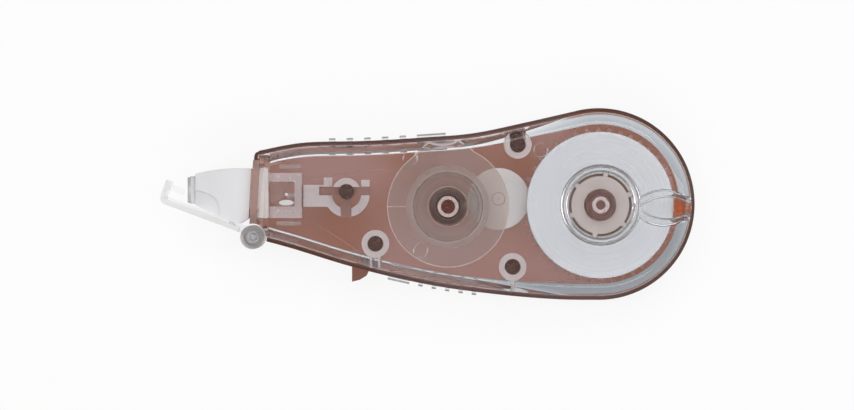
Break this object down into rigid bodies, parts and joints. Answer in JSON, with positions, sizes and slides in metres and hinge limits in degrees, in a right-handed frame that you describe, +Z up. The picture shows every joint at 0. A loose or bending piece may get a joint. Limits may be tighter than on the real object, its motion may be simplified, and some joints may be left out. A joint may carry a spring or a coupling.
{
  "type": "correction tape",
  "caption": "Pocket correction tape dispenser with see-through shells, geared tape reels, a swinging flat head and a hinged clear cap.",
  "frame": {"origin": "centre of the bounding box on the flat back face that the dispenser lies on", "axes": "+Z up through the clear front shell, +X towards the round tail, +Y towards the upper edge in the front view"},
  "size_m": [0.1052, 0.0378, 0.015],
  "materials": {
    "clear_shell": "colourless clear moulded plastic, polished",
    "tinted_shell": "transparent rose-brown moulded plastic, polished",
    "clear_reel": "colourless clear moulded plastic",
    "frosted_white": "frosted white moulded plastic",
    "translucent_white": "translucent natural white moulded plastic",
    "cream_plastic": "satin cream moulded plastic",
    "correction_tape": "matt white coated tape, fine wound edges",
    "used_tape": "translucent backing tape",
    "ring_rubber": "matt dark rubber"
  },
  "bodies": {
    "case": {"back_shell": "tinted_shell", "front_shell": "clear_shell", "head_yoke": "translucent_white", "tape_feed_run": "correction_tape", "tape_return_run": "used_tape"},
    "drive_gear": {"supply_gear": "translucent_white"},
    "supply_spool": {"supply_core": "cream_plastic", "clutch_disc": "cream_plastic", "clutch_ring": "ring_rubber", "tape_pack": "correction_tape"},
    "idler": {"idler_gear": "frosted_white"},
    "takeup_spool": {"takeup_reel": "clear_reel", "takeup_front_flange": "clear_reel", "takeup_winding": "used_tape"},
    "head": {"head_nose": "frosted_white", "head_tongue": "frosted_white", "head_holder": "translucent_white", "tape_tip_loop": "correction_tape"},
    "cap": {"cap": "clear_shell"}
  },
  "joints": [
    {"name": "cap_hinge", "type": "hinge", "parent": "case", "child": "cap", "pos_m": [-0.03443, -0.0065, 0.0075], "axis": [0, 0, 1], "range_deg": [0, 170]},
    {"name": "head_swing", "type": "hinge", "parent": "case", "child": "head", "pos_m": [-0.026, 0.0016, 0.0075], "axis": [1, 0, 0], "range_deg": [-6, 6], "stiffness_Nm_per_rad": 0.002},
    {"name": "drive_spin", "type": "hinge", "parent": "case", "child": "drive_gear", "pos_m": [0.03387, -0.0002, 0.0026], "axis": [0, 0, 1], "continuous": true},
    {"name": "clutch_slip", "type": "hinge", "parent": "drive_gear", "child": "supply_spool", "pos_m": [0.03387, -0.0002, 0.0075], "axis": [0, 0, 1], "continuous": true},
    {"name": "idler_spin", "type": "hinge", "parent": "case", "child": "idler", "pos_m": [0.01395, 0.00102, 0.0026], "axis": [0, 0, 1], "continuous": true},
    {"name": "takeup_spin", "type": "hinge", "parent": "case", "child": "takeup_spool", "pos_m": [0.00392, -0.00052, 0.0075], "axis": [0, 0, 1], "continuous": true}
  ],
  "couplings": [
    {"joint": "idler_spin", "follows": "drive_spin", "ratio": -2.8},
    {"joint": "takeup_spin", "follows": "drive_spin", "ratio": 3}
  ]
}
